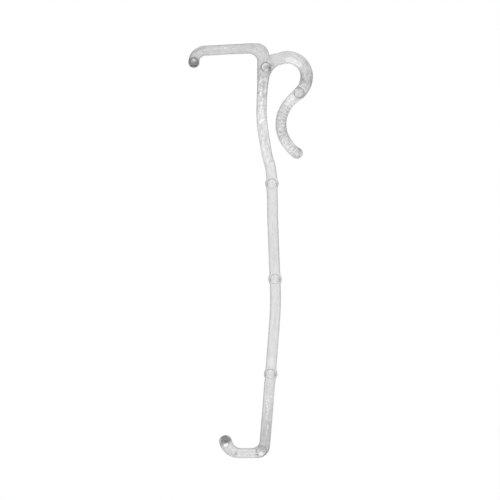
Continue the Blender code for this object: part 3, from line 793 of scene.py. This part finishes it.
# Painted shade on both flanks of every boss, added to the stem's spots.
boss_shades = [(head_length + length, side * BOSS_SHADE_OUT, *BOSS_SHADE)
               for length in boss_lengths for side in (-1, 1)]
stem_plastic = clear_plastic(
    "stem_plastic",
    levels=((head_length, 0.95), (33, 0.93), (40, 0.92), (75, 0.915), (82, 0.85), (86, 0.75), (foot, 0.69)),
    streaks=((head_length, 0.7), (34, 0.4), (foot, 0.35)),
    patches=((head_length, 0.4), (34, 0.1), (76, 0.1), (86, 0.35), (foot, 0.35)),
    spots=((81.6, 0.6, 0.3, 0.2, 0.20), (82.5, -0.15, 0.26, 0.2, 0.26), (83.1, -0.25, 0.26, 0.2, 0.26),
           (83.8, -0.1, 0.3, 0.2, 0.26), (84.7, -0.05, 0.26, 0.2, 0.26), (85.4, 0.05, 0.3, 0.2, 0.26),
           (88.4, 0.43, 0.8, 0.2, 0.22), (31.6, -1.2, 0.9, 0.32, -0.22), (75.9, -0.1, 0.5, 0.4, 0.12),
           (55.2, 0.6, 0.6, 0.35, -0.13), (50.5, 0.1, 1.5, 0.5, -0.08), (73.8, 0.0, 1.3, 0.8, 0.09),
           (77.6, 0.0, 0.7, 0.4, 0.10), (86.2, 0.0, 0.8, 0.5, 0.07), *boss_shades))
finish_moulding(stem, (STEM_SEAM, HOOK_SEAM), stem_plastic)
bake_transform(stem, "head", "lower_stem", start=(-0.00279, 0, -0.040), end=(-0.00279, 0, -0.0515))
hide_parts("stem_pad_upper", "stem_span_upper", "stem_pad_middle", "stem_span_lower", "stem_pad_lower",
            "stem_foot")

# ---------------------------------------------------------------- hook
# The foot of the stem: a square corner, the ledge that the board stands on, and a turned-up lip.
# Clear plastic, drawn on from the stem. An ejector mark sits in the corner and one in the lip's round end,
# whose front and back corners are rounded off like the top lip's.
FOOT_CORNER_TURN = (-4.7, -90)
FOOT_OUT_BEGINS, FOOT_OUT, FOOT_OUT_RADIUS = (-3.943, -83.525), (-6.773, -83.29), 2.84
FOOT_IN_BEGINS, FOOT_IN, FOOT_IN_RADIUS = (-6.241, -82.267), (-8.035, -82.12), 1.8
LEDGE_OUT_ENDS, LIP_OUT, LIP_OUT_RADIUS, LIP_OUT_TURN = (-11.0, -86.13), (-11.0, -81.68), 4.45, (270, 190)
LEDGE_IN_ENDS, LIP_IN, LIP_IN_RADIUS, LIP_IN_TURN = (-10.42, -83.92), (-10.42, -81.72), 2.2, (270, 195)
CORNER_MARK, CORNER_MARK_DIAMETER = (-5.89, -84.51), 2.6
LIP_MARK, LIP_MARK_DIAMETER = (-14.0, -81.95), 1.7


def hook_side(start, foot_begins, foot_centre, foot_radius, ledge_ends, lip_centre, lip_radius, lip_turn):
    """One side of the hook: down the foot, round its corner, along the ledge and up the lip."""
    drawn = [Vector(start), *line_points(start, foot_begins, 6)]
    drawn += arc_points(foot_centre, foot_radius, *FOOT_CORNER_TURN, 14)[1:]
    drawn += line_points(drawn[-1], ledge_ends, 6)
    return drawn + arc_points(lip_centre, lip_radius, *lip_turn, 16)[1:]


hook_out = hook_side(HOOK_SEAM[0], FOOT_OUT_BEGINS, FOOT_OUT, FOOT_OUT_RADIUS,
                     LEDGE_OUT_ENDS, LIP_OUT, LIP_OUT_RADIUS, LIP_OUT_TURN)
hook_in = hook_side(HOOK_SEAM[1], FOOT_IN_BEGINS, FOOT_IN, FOOT_IN_RADIUS,
                    LEDGE_IN_ENDS, LIP_IN, LIP_IN_RADIUS, LIP_IN_TURN)
hook_in, hook_out, hook_depths = round_end(hook_in, hook_out, LIP_CORNER_RADIUS)
hook = draw_strip("hook", hook_in, hook_out, hook_depths)
press_mark(hook, CORNER_MARK, CORNER_MARK_DIAMETER, shade=0.6, darkest=180, **SHALLOW_MARK)
press_mark(hook, LIP_MARK, LIP_MARK_DIAMETER, shade=0.4, **SHALLOW_MARK)
hook_line = middle_line(hook_in, hook_out)
hook_length = lengths_along(hook_line)[-1]
lay_run(hook, hook_line, foot)
# The levels dip at the corner and fall towards the lip's round end; the spots round the corner mark and at the
# lip's end are painted shade and painted highlights. The other spots are pale and dark places in the plastic.
hook_plastic = clear_plastic(
    "hook_plastic",
    levels=((foot, 0.69), (93, 0.64), (95.2, 0.76), (96.0, 0.93), (99, 0.93), (100.5, 0.85), (102.7, 0.81),
            (foot + hook_length, 0.66)),
    streaks=0.35,
    patches=0.35,
    spots=((94.55, 0.68, 0.58, 0.46, 0.32), (93.7, -0.1, 0.75, 0.85, -0.12), (94.0, 0.0, 1.3, 1.4, 0.05),
           (92.4, -0.8, 0.6, 0.5, 0.10), (98.6, -0.9, 0.8, 0.3, 0.10), (93.3, 1.1, 1.0, 0.35, -0.11),
           (91.2, -0.3, 0.6, 0.5, 0.09), (92.9, -1.0, 0.5, 0.4, 0.15), (97.9, -0.05, 1.6, 0.1, -0.07),
           (97.0, 0.95, 2.2, 0.2, -0.08), (95.35, -0.1, 0.28, 0.9, -0.14), (99.8, 0.3, 0.34, 0.34, -0.36),
           (100.35, 0.2, 0.25, 0.3, 0.10), (101.9, -0.34, 0.3, 0.3, 0.10), (100.8, -0.2, 0.25, 0.25, 0.12),
           (101.3, 0.3, 0.2, 0.3, -0.08), (102.75, 0.15, 0.36, 0.65, 0.45), (103.9, 0.0, 1.25, 1.7, -0.40),
           (103.85, -0.35, 0.75, 0.95, -0.20), (103.1, 1.2, 0.6, 0.32, -0.18), (103.0, -0.72, 0.45, 0.4, -0.34),
           (104.6, 0.05, 0.5, 0.6, -0.30), (104.2, -1.1, 0.4, 0.3, 0.12), (103.5, 1.0, 0.4, 0.4, -0.12)))
finish_moulding(hook, (HOOK_SEAM,), hook_plastic)
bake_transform(hook, "lower_stem", "hook", start=(-0.0062, 0, -0.0819), end=(-0.0085, 0, -0.0850))
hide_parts("corner_pad", "bottom_ledge", "bottom_lip", "bottom_lip_pad")

# ---------------------------------------------------------------- stage
# A pale floor well below the hanging clip, soft studio light, and a long-lens camera square on to the strip's
# edge. The walls are white cloth panels with darker gaps between, all round alike, which clear plastic shows.
# The camera sees them plain white, and they light the room a little less than they show through the plastic.
PANELS, PANEL_EDGE, PANEL_TOP, CEILING_BEGINS = 8.0, (-0.5, 0.5), (0.22, 0.40), (0.60, 0.80)
PANEL_GAP_LIGHT, ROOM_LIGHT = 0.68, 0.8
WHITE = (1, 1, 1, 1)
FLOOR_Z, FLOOR_SIZE, FLOOR_PAINT = -0.118, 8, (0.8, 0.8, 0.8, 1)
FLOOR_LIFT = 0.19
FLOOR_NEAR_LIGHT, FLOOR_NEAR = 0.88, (0.05, 0.45)
LAMPS = (("key_light", (-0.5, -0.7, 0.9), 1.0, 30), ("fill_light", (0.8, 0.3, 0.7), 0.5, 60))
CAMERA_PLACE = (-0.008437, -4.00475, -0.039164)
CAMERA_DISTANCE, PICTURE_WIDTH, SENSOR_WIDTH, CAMERA_SEES_TO = 4.0, 0.1128, 36, 20

scene = bpy.context.scene
scene.view_settings.view_transform = "Standard"

scene.world = bpy.data.worlds.new("studio")
scene.world.use_nodes = True
tree = scene.world.node_tree
way = parts_of(tree, add_node(tree, "ShaderNodeTexCoord").outputs["Generated"])
waves = reckon(tree, "COSINE", times(tree, reckon(tree, "ARCTAN2", way["X"], way["Y"]), PANELS))
panels = times(tree, ramp(tree, waves, *PANEL_EDGE), ramp(tree, way["Z"], *PANEL_TOP, 1.0, 0.0))
lit = reckon(tree, "MAXIMUM", panels, ramp(tree, way["Z"], *CEILING_BEGINS))
level = ramp(tree, lit, 0.0, 1.0, PANEL_GAP_LIGHT, 1.0, "LINEAR")
rays = add_node(tree, "ShaderNodeLightPath").outputs
share = ramp(tree, rays["Is Transmission Ray"], 0.0, 1.0, ROOM_LIGHT, 1.0, "LINEAR")
level = times(tree, level, share)
room = add_node(tree, "ShaderNodeBackground", {"Color": WHITE, "Strength": level}).outputs[0]
white = add_node(tree, "ShaderNodeBackground", {"Color": WHITE, "Strength": 1.0}).outputs[0]
seen = add_node(tree, "ShaderNodeMixShader", {0: rays["Is Camera Ray"], 1: room, 2: white}).outputs[0]
tree.links.new(seen, tree.nodes["World Output"].inputs["Surface"])

floor = new_plane("floor", size=FLOOR_SIZE, location=(0, 0, FLOOR_Z))
pale = bpy.data.materials.new("pale_floor")
pale.use_nodes = True
tree = pale.node_tree
tree.nodes.remove(tree.nodes["Principled BSDF"])
rays = add_node(tree, "ShaderNodeLightPath").outputs
paint = add_node(tree, "ShaderNodeBsdfDiffuse", {"Color": FLOOR_PAINT}).outputs[0]
lift = times(tree, rays["Is Camera Ray"], FLOOR_LIFT)
lift = add_node(tree, "ShaderNodeEmission", {"Strength": lift}).outputs[0]
painted = add_node(tree, "ShaderNodeAddShader", {0: paint, 1: lift}).outputs[0]
# Seen in or through the plastic the floor glows white far off and a little darker near the clip: painted shade.
far = reckon_vector(tree, "LENGTH", add_node(tree, "ShaderNodeTexCoord").outputs["Object"])
bright = ramp(tree, far, *FLOOR_NEAR, FLOOR_NEAR_LIGHT, 1.0)
bright = add_node(tree, "ShaderNodeEmission", {"Strength": bright}).outputs[0]
through = reckon(tree, "MAXIMUM", rays["Is Glossy Ray"], rays["Is Transmission Ray"])
shown = add_node(tree, "ShaderNodeMixShader", {0: through, 1: painted, 2: bright}).outputs[0]
tree.links.new(shown, tree.nodes["Material Output"].inputs["Surface"])
floor.data.materials.append(pale)

for name, place, strength, spread in LAMPS:
    lamp = bpy.data.objects.new(name, bpy.data.lights.new(name, "SUN"))
    lamp.data.energy, lamp.data.angle = strength, math.radians(spread)
    lamp.rotation_euler = Vector(place).to_track_quat("Z", "Y").to_euler()
    scene.collection.objects.link(lamp)

camera = bpy.data.objects.new("camera", bpy.data.cameras.new("camera"))
scene.collection.objects.link(camera)
camera.location = CAMERA_PLACE
camera.rotation_euler = (math.pi / 2, 0, 0)
camera.data.sensor_width = SENSOR_WIDTH
camera.data.lens = SENSOR_WIDTH * CAMERA_DISTANCE / PICTURE_WIDTH
camera.data.clip_end = CAMERA_SEES_TO
scene.camera = camera
